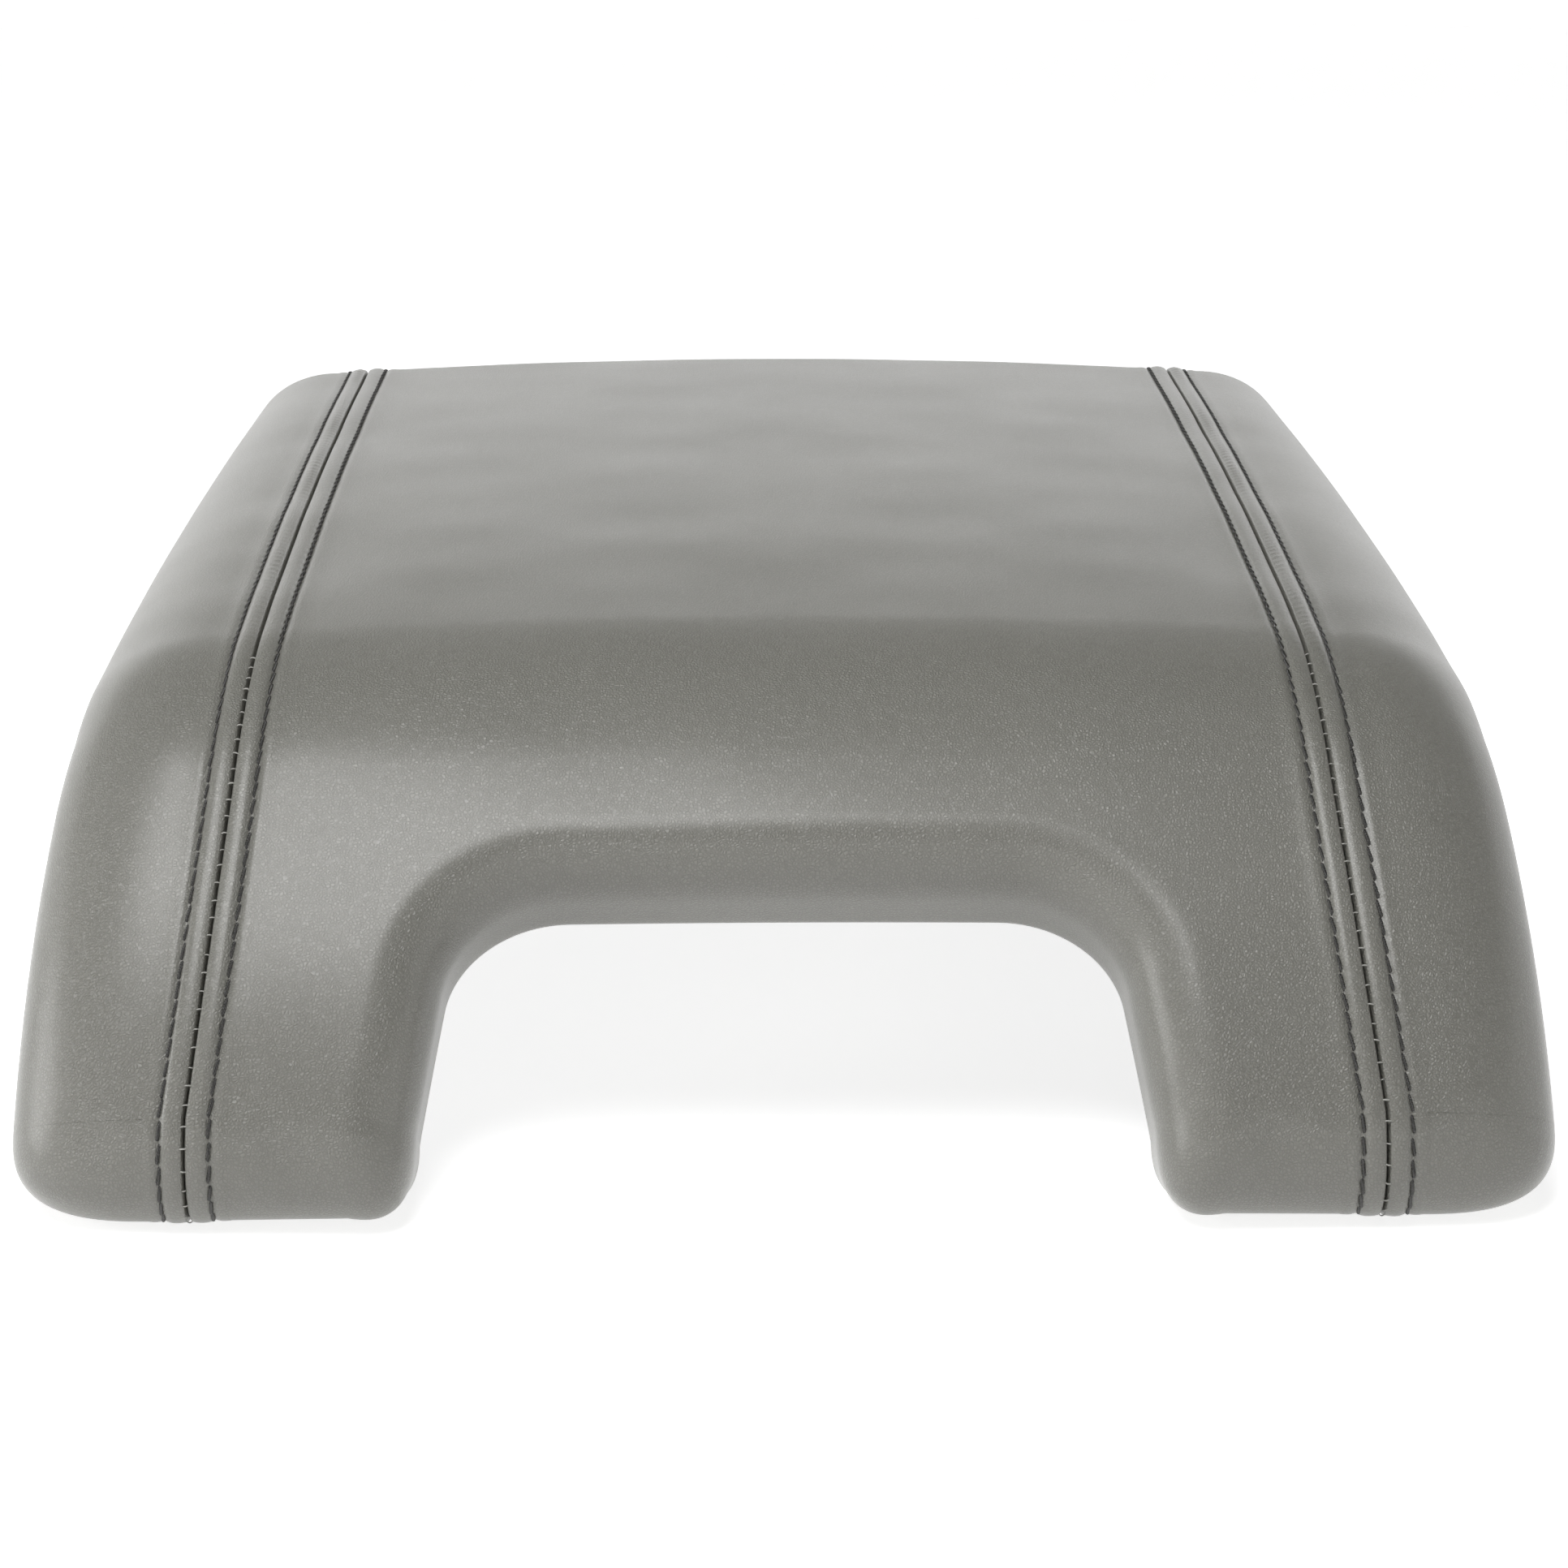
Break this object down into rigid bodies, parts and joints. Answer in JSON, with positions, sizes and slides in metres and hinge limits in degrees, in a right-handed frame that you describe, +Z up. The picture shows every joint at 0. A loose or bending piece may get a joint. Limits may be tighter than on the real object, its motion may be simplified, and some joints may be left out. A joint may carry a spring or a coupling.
{
  "type": "center console lid",
  "caption": "Padded grey leather console lid on a hinge bracket, its top rolled over a front fold into two wide legs round an open notch.",
  "frame": {"origin": "middle of the underside of the hinge bracket's foot, level with the bottoms of the lid's legs", "axes": "+Z up through the padded top, -Y towards the legs at the front, left of the lid at -X"},
  "size_m": [0.3446, 0.4125, 0.1221],
  "materials": {
    "grey_leather": "fine grain, satin",
    "foam": "matt",
    "carrier_plastic": "moulded, matt",
    "panel_plastic": "fine moulded grain, matt",
    "zinc_steel": "zinc plated",
    "screw_steel": "black phosphate",
    "rubber": "matt"
  },
  "bodies": {
    "bracket": {"hinge_bracket": "zinc_steel", "hinge_pin_left": "screw_steel", "hinge_pin_right": "screw_steel", "hinge_spring_left": "zinc_steel", "hinge_spring_right": "zinc_steel"},
    "lid": {"cover_center_panel": "grey_leather", "cover_left_panel": "grey_leather", "cover_right_panel": "grey_leather", "foam_pad": "foam", "lid_carrier": "carrier_plastic", "inner_panel": "panel_plastic", "panel_screw_1": "screw_steel", "panel_screw_2": "screw_steel", "panel_screw_3": "screw_steel", "panel_screw_4": "screw_steel", "panel_screw_5": "screw_steel", "panel_screw_6": "screw_steel", "panel_screw_7": "screw_steel", "panel_screw_8": "screw_steel", "hinge_screw_1": "screw_steel", "hinge_screw_2": "screw_steel", "hinge_screw_3": "screw_steel", "hinge_screw_4": "screw_steel", "striker_screw_1": "screw_steel", "striker_screw_2": "screw_steel", "striker_plate": "zinc_steel", "striker_loop": "zinc_steel", "stop_front_left": "rubber", "stop_front_right": "rubber", "stop_rear_left": "rubber", "stop_rear_right": "rubber", "hinge_arm_left": "zinc_steel", "hinge_arm_right": "zinc_steel"}
  },
  "joints": [
    {"name": "lid_hinge", "type": "hinge", "parent": "bracket", "child": "lid", "pos_m": [0, 0.0168, 0.07797], "axis": [-1, 0, 0], "range_deg": [0, 95]}
  ]
}
